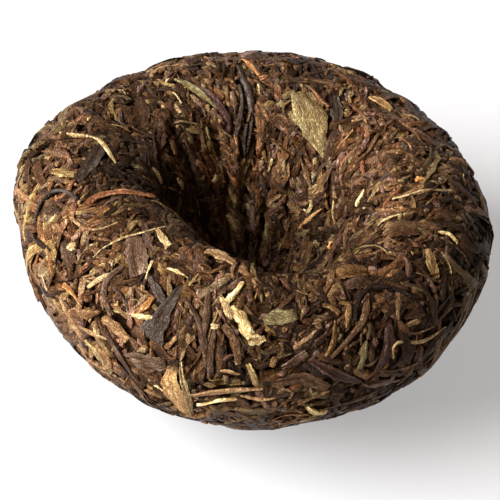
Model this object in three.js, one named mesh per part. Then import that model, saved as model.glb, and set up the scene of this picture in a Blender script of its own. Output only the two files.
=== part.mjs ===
// A pu-erh tuocha: steamed tea leaves pressed in a knotted cloth into one thick, solid bowl.
// It lies on its dome with the hollow up. Millimetres, +Z up. The origin is the middle of the
// small flat spot that it rests on, and -Y is the side that faces the viewer.
import * as THREE from "three";

// Driving dimensions: the size of a 100 g tuocha.
const OUTER_RADIUS = 41.5;
const HEIGHT = 40.5;
const FOOT_RADIUS = 9;
const RIM_RADIUS = 23; // the crest of the rim, where the top is level
const WIDEST_BELOW_RIM = 11.5;
const HOLLOW_DEPTH = 28;

// How round each stretch of the profile is.
const HOLLOW_STEEPNESS = 1.32; // over 1 moves the steepest wall towards the crest
const CREASE_LOWERING = 0.8; // under 1 moves the deepest of the creases towards the bottom
const SHOULDER_POWER = 2.0; // exponent of the superellipse from crest to widest ring
const DOME_POWER = 2.06; // exponent of the superellipse from widest ring to foot

// The knot of the cloth was off centre, and pulled the rim out of level.
const HOLLOW_SHIFT = new THREE.Vector2(1.4, -3.2);
const RIM_RISE = new THREE.Vector2(-0.012, -0.035); // height gained per mm along x and y
const RIM_GAIN = 0.9; // how far the raised side of the rim stands above a level rim

// Mesh steps: around the axis, and along each stretch of the profile.
const STEPS_AROUND = 96;
const HOLLOW_STEPS = 16;
const SHOULDER_STEPS = 8;
const DOME_STEPS = 13;

// Flats and bulges of the outline: azimuth and half width in degrees, height as a share of the
// radius. Azimuth 0 is +X and 90 is +Y, away from the viewer.
const OUTLINE_BUMPS = [
  { azimuth: 30, width: 14, height: 0.018 },
  { azimuth: 74, width: 22, height: 0.028 },
  { azimuth: 131, width: 20, height: -0.03 },
  { azimuth: 146, width: 7, height: -0.02 },
  { azimuth: 168, width: 16, height: 0.03 },
  { azimuth: 305, width: 30, height: -0.024 },
  { azimuth: 336, width: 10, height: -0.02 },
];

// The same for the hollow: its near left side is pressed in less than the rest.
const HOLLOW_BUMPS = [{ azimuth: 222, width: 26, height: -0.14 }];

// Where the inner half of the rim slopes gently into the hollow, instead of level: azimuth and
// half width in degrees, depth at the crest in mm.
const RIM_DIPS = [{ azimuth: 163, width: 26, depth: 1.8 }];
const DIP_START = 0.45; // share of the hollow's section where the dips start
const DIP_END = 0.55; // share of the shoulder's section where they end

// Creases that the gathered cloth left in the wall of the hollow: azimuth and half width in
// degrees, depth in mm.
const CLOTH_CREASES = [
  { azimuth: 4, width: 6, depth: 0.8 },
  { azimuth: 27, width: 5, depth: 0.9 },
  { azimuth: 52, width: 6, depth: 0.7 },
  { azimuth: 71, width: 5, depth: 0.8 },
  { azimuth: 91, width: 4.5, depth: 1.5 },
  { azimuth: 107, width: 5, depth: 1.2 },
  { azimuth: 125, width: 5.5, depth: 1.3 },
  { azimuth: 147, width: 6, depth: 1.2 },
  { azimuth: 173, width: 6, depth: 1.0 },
  { azimuth: 204, width: 7, depth: 0.9 },
  { azimuth: 236, width: 6, depth: 0.8 },
  { azimuth: 268, width: 7, depth: 0.9 },
  { azimuth: 301, width: 6, depth: 0.8 },
  { azimuth: 333, width: 6, depth: 0.9 },
];

// Slow waves over the whole surface: how often each repeats around and along the profile.
const WAVES = [
  { around: 3, along: 2.5, phase: 0.7, height: 0.24 },
  { around: 5, along: 3.5, phase: 2.1, height: 0.2 },
  { around: 8, along: 5.0, phase: 4.0, height: 0.16 },
  { around: 13, along: 7.0, phase: 1.3, height: 0.12 },
];
const WAVES_END = 0.9; // share of the section, counted from the hollow, that has waves
const WAVES_FADE = 1 / 6; // share of the section over which they fade in and out

const TEA_COLOUR = 0x3c2c1f;
const TEA_ROUGHNESS = 0.62;

const RIM_HEIGHT = HEIGHT - RIM_GAIN;
const WIDEST_HEIGHT = RIM_HEIGHT - WIDEST_BELOW_RIM;
const QUARTER_TURN = Math.PI / 2;

// How far the dome rises from its lowest point to a radius, as a share of its own height.
function domeRise(radius) {
  const share = Math.pow(radius / OUTER_RADIUS, DOME_POWER);
  return 1 - Math.pow(1 - share, 1 / DOME_POWER);
}

// The dome would reach this far below the foot if the flat spot didn't cut it.
const FOOT_CUT = (WIDEST_HEIGHT * domeRise(FOOT_RADIUS)) / (1 - domeRise(FOOT_RADIUS));

function hollowPoint(share) {
  const fall = 0.5 * (1 + Math.cos(Math.PI * Math.pow(share, HOLLOW_STEEPNESS)));
  return { r: RIM_RADIUS * share, z: RIM_HEIGHT - HOLLOW_DEPTH * fall };
}

function shoulderPoint(share) {
  const angle = share * QUARTER_TURN;
  const out = Math.pow(Math.sin(angle), 2 / SHOULDER_POWER);
  const up = Math.pow(Math.cos(angle), 2 / SHOULDER_POWER);
  return {
    r: RIM_RADIUS + (OUTER_RADIUS - RIM_RADIUS) * out,
    z: WIDEST_HEIGHT + WIDEST_BELOW_RIM * up,
  };
}

function domePoint(share) {
  const footAngle = Math.acos(Math.pow(FOOT_RADIUS / OUTER_RADIUS, DOME_POWER / 2));
  const angle = share * footAngle;
  const out = Math.pow(Math.cos(angle), 2 / DOME_POWER);
  const down = Math.pow(Math.sin(angle), 2 / DOME_POWER);
  return { r: OUTER_RADIUS * out, z: WIDEST_HEIGHT - (WIDEST_HEIGHT + FOOT_CUT) * down };
}

// The half section from the middle of the hollow, over the rim, to the middle of the foot.
// inner is 1 in the hollow and fades to 0 at the widest ring. wall is 1 where the creases are
// deepest and 0 where there are none. dip is the same for the dips in the rim.
function halfSection() {
  const section = [];
  for (let i = 0; i <= HOLLOW_STEPS; i += 1) {
    const share = i / HOLLOW_STEPS;
    const wall = Math.sin(Math.PI * Math.pow(share, CREASE_LOWERING));
    const dip = THREE.MathUtils.smoothstep(share, DIP_START, 1);
    section.push({ ...hollowPoint(share), wall, dip, inner: 1 });
  }
  for (let i = 1; i <= SHOULDER_STEPS; i += 1) {
    const share = i / SHOULDER_STEPS;
    const inner = 0.5 * (1 + Math.cos(Math.PI * share));
    const dip = 1 - THREE.MathUtils.smoothstep(share, 0, DIP_END);
    section.push({ ...shoulderPoint(share), wall: 0, dip, inner });
  }
  for (let i = 1; i <= DOME_STEPS; i += 1) {
    section.push({ ...domePoint(i / DOME_STEPS), wall: 0, dip: 0, inner: 0 });
  }
  section.push({ r: 0, z: 0, wall: 0, dip: 0, inner: 0 });
  return section;
}

// Outward normal of the section at each point, from its neighbours.
function sectionNormal(section, index) {
  const before = section[Math.max(index - 1, 0)];
  const after = section[Math.min(index + 1, section.length - 1)];
  return new THREE.Vector2(before.z - after.z, after.r - before.r).normalize();
}

// A smooth bump, 1 at its azimuth and near 0 past twice its width.
function bell(azimuth, bump) {
  const apart = THREE.MathUtils.euclideanModulo(azimuth - bump.azimuth + 180, 360) - 180;
  return Math.exp(-Math.pow(apart / bump.width, 2));
}

function stretchOf(bumps, azimuth) {
  const heights = bumps.map((bump) => bump.height * bell(azimuth, bump));
  return 1 + heights.reduce((sum, height) => sum + height, 0);
}

function deepest(dents, azimuth) {
  return Math.max(...dents.map((dent) => dent.depth * bell(azimuth, dent)));
}

// The waves fade out at the two ends of the section, where all azimuths meet.
function waveHeight(azimuth, along) {
  const angle = THREE.MathUtils.degToRad(azimuth);
  const waves = WAVES.map((wave) => {
    const across = Math.sin(wave.around * angle + wave.phase);
    return wave.height * across * Math.sin(2 * Math.PI * wave.along * along + wave.phase);
  });
  const fade = THREE.MathUtils.clamp(Math.min(along, WAVES_END - along) / WAVES_FADE, 0, 1);
  return fade * waves.reduce((sum, height) => sum + height, 0);
}

// A point of the uneven surface, from its place on the section and its azimuth.
function surfacePoint(section, index, azimuth) {
  const { r, z, wall, dip, inner } = section[index];
  const normal = sectionNormal(section, index);
  const along = index / (section.length - 1);
  const sunk = wall * deepest(CLOTH_CREASES, azimuth) + dip * deepest(RIM_DIPS, azimuth);
  const proud = waveHeight(azimuth, along) - sunk;
  const outlineStretch = stretchOf(OUTLINE_BUMPS, azimuth);
  const hollowStretch = stretchOf(HOLLOW_BUMPS, azimuth);
  const stretch = THREE.MathUtils.lerp(outlineStretch, hollowStretch, inner);
  const radius = r * stretch + proud * normal.x;
  const angle = THREE.MathUtils.degToRad(azimuth);
  const x = radius * Math.cos(angle) + HOLLOW_SHIFT.x * inner;
  const y = radius * Math.sin(angle) + HOLLOW_SHIFT.y * inner;
  const rise = inner * (RIM_RISE.x * x + RIM_RISE.y * y);
  return new THREE.Vector3(x, y, Math.max(0, z + proud * normal.y + rise));
}

// A lathe of the half section, with every vertex then moved to its place on the uneven surface.
function teaBodyGeometry() {
  const section = halfSection();
  const outline = section.map((point) => new THREE.Vector2(point.r, point.z)).reverse();
  const geometry = new THREE.LatheGeometry(outline, STEPS_AROUND);
  const positions = geometry.getAttribute("position");
  const perTurn = section.length;
  for (let i = 0; i < positions.count; i += 1) {
    const index = perTurn - 1 - (i % perTurn);
    const turn = Math.floor(i / perTurn) % STEPS_AROUND;
    const point = surfacePoint(section, index, (360 * turn) / STEPS_AROUND);
    positions.setXYZ(i, point.x, point.y, point.z);
  }
  geometry.computeVertexNormals();
  return geometry;
}

function teaBody() {
  const material = new THREE.MeshStandardMaterial({
    color: TEA_COLOUR,
    roughness: TEA_ROUGHNESS,
    metalness: 0,
  });
  const mesh = new THREE.Mesh(teaBodyGeometry(), material);
  mesh.name = "tea_body";
  return mesh;
}

const tuocha = new THREE.Group();
tuocha.add(teaBody());
export default tuocha;
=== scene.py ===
"""A pu-erh tuocha on a pale floor: thousands of pressed tea leaves over a smaller relief core.

Lengths are in millimetres until a mesh is made, where MM turns them into metres. The leaves'
colours are given as 0 to 255 sRGB, and linear turns them into the shader's own.
"""
import math
from dataclasses import dataclass, fields

import bmesh
import bpy
import numpy as np
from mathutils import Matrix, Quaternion, Vector
from mathutils.bvhtree import BVHTree


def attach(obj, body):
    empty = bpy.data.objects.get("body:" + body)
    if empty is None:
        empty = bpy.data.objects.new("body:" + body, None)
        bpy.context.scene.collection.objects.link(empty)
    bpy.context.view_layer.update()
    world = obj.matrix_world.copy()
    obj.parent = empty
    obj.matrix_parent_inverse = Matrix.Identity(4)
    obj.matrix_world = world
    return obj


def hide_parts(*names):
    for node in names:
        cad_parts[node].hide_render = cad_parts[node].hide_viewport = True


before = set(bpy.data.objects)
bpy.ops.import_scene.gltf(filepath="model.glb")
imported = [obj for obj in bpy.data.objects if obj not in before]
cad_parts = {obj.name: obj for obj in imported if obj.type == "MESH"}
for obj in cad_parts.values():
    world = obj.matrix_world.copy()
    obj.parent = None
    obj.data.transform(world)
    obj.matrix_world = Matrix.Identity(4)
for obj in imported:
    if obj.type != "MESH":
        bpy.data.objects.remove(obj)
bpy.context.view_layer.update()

MM = 0.001
TAU = 2 * math.pi
NODE = "tea_body"
BODY = "root"
UP = np.array([0.0, 0.0, 1.0])
SEED = 7

# ---- the photo's view
IMAGE_SIZE = 500
SENSOR = 36.0
CAMERA_ELEVATION = 45.0
CAMERA_ROLL = 9.0  # the lump's right end is lower in the picture
CAMERA_DISTANCE = 457.0
PIXELS_PER_MM = 5.614  # at the lump's axis
AIM = Vector((-0.36, 0.0, 20.25))  # the point in the middle of the picture
GRAZING = 0.15  # the least cosine of the angle that laid takes a surface to be seen at


def add_object(name, data):
    thing = bpy.data.objects.new(name, data)
    bpy.context.collection.objects.link(thing)
    return thing


def make_camera():
    data = bpy.data.cameras.new("camera")
    data.sensor_width = SENSOR
    data.lens = SENSOR * PIXELS_PER_MM * CAMERA_DISTANCE / IMAGE_SIZE
    data.clip_start = 0.01
    data.clip_end = 20.0
    camera = add_object("camera", data)
    elevation = math.radians(CAMERA_ELEVATION)
    back = Vector((0.0, -math.cos(elevation), math.sin(elevation)))
    level = (-back).to_track_quat("-Z", "Y")
    camera.rotation_mode = "QUATERNION"
    camera.rotation_quaternion = level @ Quaternion((0, 0, 1), math.radians(CAMERA_ROLL))
    camera.location = (AIM + back * CAMERA_DISTANCE) * MM
    bpy.context.scene.camera = camera
    bpy.context.view_layer.update()
    return camera


class PhotoView:
    """Turns pixels of the photo into rays, and places into pixels."""

    def __init__(self, camera):
        matrix = np.array(camera.matrix_world)
        self.right, self.up, back = matrix[:3, 0], matrix[:3, 1], matrix[:3, 2]
        self.forward = -back
        self.eye = matrix[:3, 3] / MM
        self.focal = camera.data.lens / SENSOR * IMAGE_SIZE

    def rays(self, pixels):
        across = (pixels[..., 0] - IMAGE_SIZE / 2)[..., None]
        down = (pixels[..., 1] - IMAGE_SIZE / 2)[..., None]
        return unit(self.forward * self.focal + self.right * across - self.up * down)

    def pixels(self, points):
        seen = points - self.eye
        depth = seen @ self.forward
        across = self.focal * (seen @ self.right) / depth
        rise = self.focal * (seen @ self.up) / depth
        return np.stack([IMAGE_SIZE / 2 + across, IMAGE_SIZE / 2 - rise], -1)

    def laid(self, angle, normals):
        """Unit tangents that look as if they lie at angle in the picture. 0 is to the right."""
        flat = self.right * math.cos(angle) + self.up * math.sin(angle)
        slope = -(normals @ flat) / np.minimum(normals @ self.forward, -GRAZING)
        return flattened(flat + self.forward * slope[..., None], normals)


# ---- small sums
CAP_SOFTNESS = 0.08  # mm over which a height is rounded off below its cap


def unit(vectors):
    return vectors / np.maximum(np.linalg.norm(vectors, axis=-1, keepdims=True), 1e-12)


def dot(a, b):
    return (a * b).sum(-1, keepdims=True)


def flattened(vectors, normals):
    """The part of the vectors that lies in the surface, at unit length."""
    return unit(vectors - normals * dot(vectors, normals))


def linear(red, green, blue):
    srgb = np.array([red, green, blue]) / 255.0
    return np.where(srgb <= 0.04045, srgb / 12.92, ((srgb + 0.055) / 1.055) ** 2.4)


def wobble(rng, count, along):
    """Smooth random curves of about -1 to 1 over along, one for each of count leaves."""
    total = np.zeros((count, len(along)))
    for wave in (1, 2, 3):
        speed = wave * rng.uniform(0.5, 1.1, (count, 1))
        total += np.sin(TAU * (speed * along + rng.uniform(0, 1, (count, 1)))) / wave
    return total / 1.5


def soft_cap(height, cap):
    """height, rounded off below cap as if a cloth had pressed it flat."""
    return cap - CAP_SOFTNESS * np.logaddexp(0.0, (cap - height) / CAP_SOFTNESS)


def resampled(line, shares):
    """The points at shares of the way along a line of points."""
    steps = np.linalg.norm(np.diff(line, axis=0), axis=1)
    reach = np.concatenate([[0], np.cumsum(steps)])
    return np.stack([np.interp(reach[-1] * shares, reach, values) for values in line.T], 1)


def line_through(corners, count):
    """Points spaced evenly along a line through corners, with the corners rounded off."""
    line = resampled(np.array(corners, float), np.linspace(0, 1, count))
    for _ in range(2):
        line[1:-1] = 0.25 * line[:-2] + 0.5 * line[1:-1] + 0.25 * line[2:]
    return line


# ---- the pressed form
# A ring inside the rim, from which all of the surface can be seen but the hollow's bottom: its
# radius and height as shares of the lump's own.
RING_OUT = 0.62
RING_UP = 0.6
AXIS_BEND = 0.4  # share of the height of the hollow's bottom at which the axis starts to lean
LEAST_PITCH = -127  # on the bottom of the hollow
BOWL_POINTS = 16  # of each row, those on the bottom of the hollow
BOWL_END = 0.94  # share of the way to the part that the ring sees


class Envelope:
    """The surface that the leaves are pressed to: the CAD body, with rounded normals."""

    def __init__(self, node):
        shape = bmesh.new()
        shape.from_mesh(node.data)
        bmesh.ops.remove_doubles(shape, verts=shape.verts, dist=1e-6)
        bmesh.ops.triangulate(shape, faces=shape.faces)
        bmesh.ops.scale(shape, vec=(1 / MM,) * 3, verts=shape.verts)
        shape.normal_update()
        self.tree = BVHTree.FromBMesh(shape)
        self.corners = np.array([[v.co for v in face.verts] for face in shape.faces])
        self.normals = np.array([[v.normal for v in face.verts] for face in shape.faces])
        shape.free()
        low, high = self.corners.min((0, 1)), self.corners.max((0, 1))
        self.radius = (high - low)[:2].mean() / 2
        self.height = high[2]
        self.ring_radius = RING_OUT * self.radius
        self.ring_height = RING_UP * self.height
        self.bottom = self.hollow_bottom()
        self.ring_middle = self.bottom * [0.5, 0.5, 0.0]

    def hollow_bottom(self):
        """The lowest point of the hollow, found by a small net of rays from above."""
        places = np.linspace(-0.15, 0.15, 13) * self.radius
        net = np.array([(x, y, 2 * self.height) for x in places for y in places])
        hits = self.cast(net, np.broadcast_to(-UP, net.shape))
        return hits[hits[:, 2].argmin()]

    def on(self, points):
        """The nearest places on the surface, and the normals there."""
        found = [self.tree.find_nearest(Vector(p)) for p in points.reshape(-1, 3)]
        places = np.array([hit[0] for hit in found])
        normals = self.rounded(places, np.array([hit[2] for hit in found]))
        return places.reshape(points.shape), normals.reshape(points.shape)

    def rounded(self, places, faces):
        """Normals at places on faces, mixed from the faces' corners."""
        a, b, c = np.moveaxis(self.corners[faces], 1, 0)
        whole = np.cross(b - a, c - a)
        area = dot(whole, whole)
        at_b = dot(np.cross(places - a, c - a), whole) / area
        at_c = dot(np.cross(b - a, places - a), whole) / area
        share = np.stack([1 - at_b - at_c, at_b, at_c], 1)
        return unit((self.normals[faces] * share).sum(1))

    def cast(self, origins, directions):
        """Where rays first meet the surface, nan where they miss."""
        miss = Vector((math.nan,) * 3)
        pairs = zip(origins.reshape(-1, 3), directions.reshape(-1, 3))
        hits = [self.tree.ray_cast(Vector(o), Vector(d))[0] or miss for o, d in pairs]
        return np.array(hits).reshape(directions.shape)

    def under(self, view, pixels):
        """The places on the surface that pixels of the photo show."""
        directions = view.rays(pixels)
        return self.cast(np.broadcast_to(view.eye, directions.shape), directions)

    def scatter(self, rng, count):
        """Places spread evenly by area."""
        a, b, c = np.moveaxis(self.corners, 1, 0)
        area = np.linalg.norm(np.cross(b - a, c - a), axis=1)
        face = rng.choice(len(area), count, p=area / area.sum())
        share = rng.dirichlet((1, 1, 1), count)[:, :, None]
        return (self.corners[face] * share).sum(1)

    def axis_offset(self, points):
        """Vectors from the axis, which leans over to the bottom of the off-centre hollow."""
        out = np.hypot(points[..., 0], points[..., 1])
        inward = (self.radius - out) / (self.radius - self.ring_radius)
        start = AXIS_BEND * self.bottom[2]
        above = (points[..., 2] - start) / start
        share = np.clip(inward, 0, 1) * np.clip(above, 0, 1)
        offset = points - self.bottom * share[..., None]
        offset[..., 2] = 0
        return offset

    def pitch(self, points):
        """Degrees round the rim's section: about -117 at the hollow's bottom, 0 at the crest of
        the rim, 90 at the widest ring and 225 at the foot."""
        out = np.linalg.norm(self.axis_offset(points), axis=-1) - self.ring_radius
        angle = np.degrees(np.arctan2(out, points[..., 2] - self.ring_height))
        return np.where(angle < LEAST_PITCH, angle + 360, angle)

    def tangents(self, points, normals):
        """Unit tangents: outward along the section (towards the foot), and round the axis."""
        around = flattened(np.cross(UP, self.axis_offset(points)), normals)
        return np.cross(around, normals), around


def section_grid(envelope, turns, stations):
    """Points over the whole surface in rows from the hollow's bottom to the foot."""
    azimuth = TAU * np.arange(turns)[:, None] / turns
    out = np.concatenate([np.cos(azimuth), np.sin(azimuth), np.zeros_like(azimuth)], 1)
    ring = envelope.ring_middle + envelope.ring_radius * out + envelope.ring_height * UP
    rays = 3 * stations
    directions = np.array([fan(envelope, start, way, rays) for start, way in zip(ring, out)])
    hits = envelope.cast(np.repeat(ring[:, None], rays, 1), directions)
    rows = np.concatenate([bowl_rows(envelope, hits[:, 0]), hits], 1)
    share = np.linspace(0, 1, stations)
    crowded = share * (0.8 + 0.2 * share**3)  # closer together in the hollow
    return np.array([resampled(row, crowded) for row in rows])


def fan(envelope, start, outward, rays):
    """Directions from a place on the ring: from the hollow's bottom, over the rim, to the foot."""
    to_bottom, to_foot = envelope.bottom - start, -start
    first = math.atan2(to_bottom[2], -np.hypot(*to_bottom[:2])) + TAU
    last = math.atan2(to_foot[2], -np.hypot(*to_foot[:2]))
    angle = np.linspace(first, last, rays + 2)[1:-1, None]
    inner = np.where(angle > math.pi / 2, -unit(to_bottom * [1, 1, 0]), outward)
    level = np.where(angle < -math.pi / 2, -unit(to_foot * [1, 1, 0]), inner)
    return np.cos(angle) * level + np.sin(angle) * UP


def bowl_rows(envelope, edge):
    """Rows of points over the bottom of the hollow, out to an edge round it."""
    share = np.linspace(0, BOWL_END, BOWL_POINTS)[:, None]
    above = envelope.bottom + share * (edge[:, None] - envelope.bottom) + UP
    return envelope.cast(above, np.broadcast_to(-UP, above.shape))


# ---- swells and creases
SWELL_WAVES = 18
SWELL_LENGTH = (6.0, 13.0)
SWELL_HEIGHT = 0.2

# Places on the photo where the near lip of the hollow stands a little higher.
BULGES = [(202, 254), (212, 260), (224, 266), (236, 272)]
BULGE_HEIGHT = 1.5
BULGE_REACH = 4.0

# The sharpest creases of the hollow's far wall, as lines on the photo.
CREASES = [
    [(253, 82), (254, 140), (257, 165), (256, 202)],
    [(171, 108), (174, 132), (184, 150), (190, 172)],
    [(209, 122), (214, 135), (221, 162)],
    [(233, 112), (234, 130), (231, 146)],
    [(228, 164), (227, 185), (232, 206)],
    [(174, 132), (164, 143), (158, 160)],
    [(196, 132), (205, 160), (214, 192)],
    [(333, 168), (326, 200), (320, 236)],
    [(289, 172), (287, 205), (291, 240)],
]
CREASE_POINTS = 30
CREASE_DEPTH = 1.3
CREASE_WIDTH = 0.65
CREASE_SHADE = 0.3  # painted shade in the creases: how much less of a ridge a leaf is for each mm that it is sunk


class Press:
    """How far the pressed leaf stands over the envelope: slow swells and sharp creases."""

    def __init__(self, rng, envelope, view):
        length = rng.uniform(*SWELL_LENGTH, (SWELL_WAVES, 1))
        self.waves = unit(rng.normal(size=(SWELL_WAVES, 3))) * TAU / length
        self.phases = rng.uniform(0, TAU, SWELL_WAVES)
        lines = [line_through(line, CREASE_POINTS) for line in CREASES]
        fade = np.sin(np.linspace(0, math.pi, CREASE_POINTS)) ** 0.5
        self.creases = np.concatenate([envelope.under(view, line) for line in lines])
        self.crease_depths = CREASE_DEPTH * np.tile(fade, len(lines))
        self.bulges = envelope.under(view, np.array(BULGES, float))

    def swell(self, points):
        slow = SWELL_HEIGHT * np.sin(points @ self.waves.T + self.phases).sum(-1) / 3
        near = [((points - place) ** 2).sum(-1) for place in self.bulges]
        return slow + BULGE_HEIGHT * np.exp(-np.min(near, axis=0) / BULGE_REACH**2)

    def sunk(self, points):
        flat = points.reshape(-1, 3)
        sunk = np.zeros(len(flat))
        for place, depth in zip(self.creases, self.crease_depths):
            near = ((flat - place) ** 2).sum(1)
            sunk = np.maximum(sunk, depth * np.exp(-near / CREASE_WIDTH**2))
        return sunk.reshape(points.shape[:-1])


# ---- the leaves' lie
# Places on the photo, and the angle there that the leaves lie at: 0 is level, 90 is upright.
FLOW = [
    (200, 100, -50), (150, 130, -45), (60, 260, -60), (130, 260, 90), (100, 245, 25),
    (125, 360, -40), (200, 340, -80), (235, 330, -85), (250, 405, 0), (200, 400, 5),
    (310, 400, 5), (330, 380, 20), (345, 330, 60), (420, 370, 47), (470, 280, -75),
    (470, 320, 70), (430, 200, 12), (370, 120, 50), (400, 265, 10), (380, 235, 15),
    (60, 200, 60), (290, 340, 10), (165, 150, -62), (185, 130, -66), (215, 130, -68),
    (245, 120, -86), (252, 170, -90), (225, 170, -72),
]
FLOW_REACH = 26.0  # pixels
FLOW_BASE = 0.25  # weight of the section's own direction
FLOW_CALM = 0.65  # how much of the spread the places of FLOW take away

# Painted light and shade, with some of the leaves' own lightness: places on the photo round which
# the leaves are darker or lighter, x, y, reach in pixels, and how many times as light they are.
PAINTED_LIGHT_AND_SHADE = [
    (128, 172, 30, 0.2), (50, 190, 34, 1.6), (335, 222, 30, 0.5), (335, 180, 24, 1.9),
    (292, 200, 24, 1.2), (205, 178, 20, 1.5), (186, 206, 28, 0.4), (80, 186, 18, 1.4),
    (296, 150, 16, 0.8), (468, 240, 36, 0.2), (438, 308, 26, 0.72), (330, 392, 30, 0.7),
    (350, 332, 26, 1.4), (292, 345, 26, 0.7), (225, 375, 26, 0.62), (55, 255, 50, 2.0),
    (100, 325, 32, 1.7), (128, 345, 30, 2.6), (200, 305, 26, 1.55), (167, 112, 20, 0.7),
    (200, 70, 50, 1.2), (245, 142, 38, 2.3), (215, 262, 16, 1.2), (200, 408, 24, 1.9),
    (296, 412, 24, 1.9), (382, 106, 26, 1.8), (390, 150, 42, 1.35), (412, 228, 38, 2.2),
]


class Flow:
    """Which way the leaves lie, by the places of FLOW, and the light and shade painted on them by
    place.
    """

    def __init__(self, envelope, view):
        self.envelope, self.view = envelope, view

    def seen(self, points, normals):
        """Whether the photo shows the places."""
        towards = unit(self.view.eye - points)
        start = points + 0.3 * normals
        free = np.isnan(self.envelope.cast(start, towards)[..., 0])
        return free & (dot(towards, normals)[..., 0] > 0.1)

    def headings(self, rng, points, normals, spread):
        """Headings at the points, spread by so many degrees: along the section, except near the
        places of FLOW."""
        outward, around = self.envelope.tangents(points, normals)
        seen = self.seen(points, normals)
        pixels = self.view.pixels(points)
        mean = np.zeros((len(points), 2))
        mean[:, 0] = FLOW_BASE
        for x, y, angle in FLOW:
            near = nearness(pixels, x, y, FLOW_REACH) * seen
            lie = self.view.laid(math.radians(angle), normals)
            turn = 2 * np.arctan2(dot(lie, around)[:, 0], dot(lie, outward)[:, 0])
            mean += near[:, None] * np.stack([np.cos(turn), np.sin(turn)], 1)
        sure = np.linalg.norm(mean, axis=1) - FLOW_BASE
        calm = 1 - FLOW_CALM * np.clip(sure, 0, 1)
        angle = 0.5 * np.arctan2(mean[:, 1], mean[:, 0])
        angle = angle + np.radians(rng.normal(0, spread, len(points))) * calm
        return outward * np.cos(angle)[:, None] + around * np.sin(angle)[:, None]

    def painted_light_and_shade(self, points, normals):
        """Painted light and shade: how many times as light the leaves at the points are, where the
        photo shows them.
        """
        pixels = self.view.pixels(points)
        share = sum(math.log(t) * nearness(pixels, x, y, reach) for x, y, reach, t in PAINTED_LIGHT_AND_SHADE)
        return np.exp(share * self.seen(points, normals))


def nearness(pixels, x, y, reach):
    """1 at a place on the photo, and near 0 further off than three times the reach."""
    return np.exp(-((pixels - (x, y)) ** 2).sum(1) / (2 * reach**2))


# ---- meshes
SMOOTH_UP_TO = 60.0  # degrees between faces that are shaded as one surface
CELL_ASPECT = 2.2  # of a leaf's cell on the map for baking: its width over its height


def add_piece(name, faces, points, grain, tint, ridge, material):
    """A mesh in metres that rides on the lump's body and stands for its CAD node. faces are its
    loops, the starts of its faces, and a place on the map for baking for each loop."""
    loops, starts, cells = faces
    mesh = bpy.data.meshes.new(name)
    mesh.vertices.add(points.size // 3)
    mesh.vertices.foreach_set("co", (points * MM).astype(np.float32).ravel())
    mesh.loops.add(len(loops))
    mesh.loops.foreach_set("vertex_index", loops.astype(np.int32))
    mesh.polygons.add(len(starts))
    mesh.polygons.foreach_set("loop_start", starts.astype(np.int32))
    opaque = np.concatenate([tint, np.ones_like(tint[..., :1])], -1)
    for attribute, kind, field, values in (
        ("grain", "FLOAT_VECTOR", "vector", grain),
        ("tint", "FLOAT_COLOR", "color", opaque),
        ("ridge", "FLOAT", "value", ridge),
    ):
        layer = mesh.attributes.new(attribute, kind, "POINT")
        layer.data.foreach_set(field, values.astype(np.float32).ravel())
    mesh.update(calc_edges=True)
    baked = mesh.uv_layers.new(name="OFBake")
    baked.uv.foreach_set("vector", cells.astype(np.float32).ravel())
    mesh.shade_smooth()
    mesh.set_sharp_from_angle(angle=math.radians(SMOOTH_UP_TO))
    mesh.materials.append(material)
    piece = add_object(name, mesh)
    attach(piece, BODY)
    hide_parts(NODE)


@dataclass
class Leaves:
    """Closed lofts: places in mm, and what their material reads."""

    places: np.ndarray  # leaf, station, corner, 3
    outward: np.ndarray  # leaf, station, 3
    grain: np.ndarray  # leaf, station, corner, 3: mm along, mm across, a number of its own
    tint: np.ndarray  # leaf, 3
    ridge: np.ndarray  # leaf, station, corner

    def only(self, chosen):
        return Leaves(*(getattr(self, field.name)[chosen] for field in fields(self)))


def loft_template(stations, corners):
    """Loops, face sizes and map places of one closed loft with points in [station, corner]."""
    station, corner = np.meshgrid(np.arange(stations - 1), np.arange(corners), indexing="ij")
    along = np.stack([station, station, station + 1, station + 1], -1)
    turn = np.stack([corner, corner + 1, corner + 1, corner], -1)
    sides = along * corners + turn % corners
    side_cells = np.stack([0.08 + 0.84 * along / (stations - 1), 0.04 + 0.92 * turn / corners], -1)
    ends = np.arange(corners)
    angle = TAU * ends / corners
    disc = np.stack([0.03 + 0.02 * np.cos(angle), 0.5 + 0.3 * np.sin(angle)], -1)
    far = (stations - 1) * corners
    loops = np.concatenate([sides.ravel(), ends[::-1], ends + far])
    sizes = np.array([4] * (sides.size // 4) + [corners] * 2)
    cells = np.concatenate([side_cells.reshape(-1, 2), disc[::-1], disc + (0.93, 0)])
    return loops, sizes, cells


def add_leaves(name, leaves, material):
    count, stations, corners = leaves.places.shape[:3]
    one_loops, one_sizes, one_cells = loft_template(stations, corners)
    leaf = np.arange(count)
    loops = (leaf[:, None] * stations * corners + one_loops).ravel()
    starts = np.concatenate([[0], np.cumsum(np.tile(one_sizes, count))[:-1]])
    columns = math.ceil(math.sqrt(count / CELL_ASPECT))
    rows = math.ceil(count / columns)
    row, column = np.divmod(leaf, columns)
    cell = np.stack([column, row], -1)[:, None]
    cells = (cell + one_cells) / (columns, rows)
    tint = np.broadcast_to(leaves.tint[:, None, None], leaves.places.shape)
    faces = (loops, starts, cells)
    add_piece(name, faces, leaves.places, leaves.grain, tint, leaves.ridge, material)


# ---- leaf paths
@dataclass
class Paths:
    """Lines over the surface that leaves lie along."""

    points: np.ndarray  # leaf, station, 3
    normals: np.ndarray
    headings: np.ndarray
    lengths: np.ndarray  # leaf

    @property
    def along(self):
        return np.linspace(0, 1, self.points.shape[1])


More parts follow.
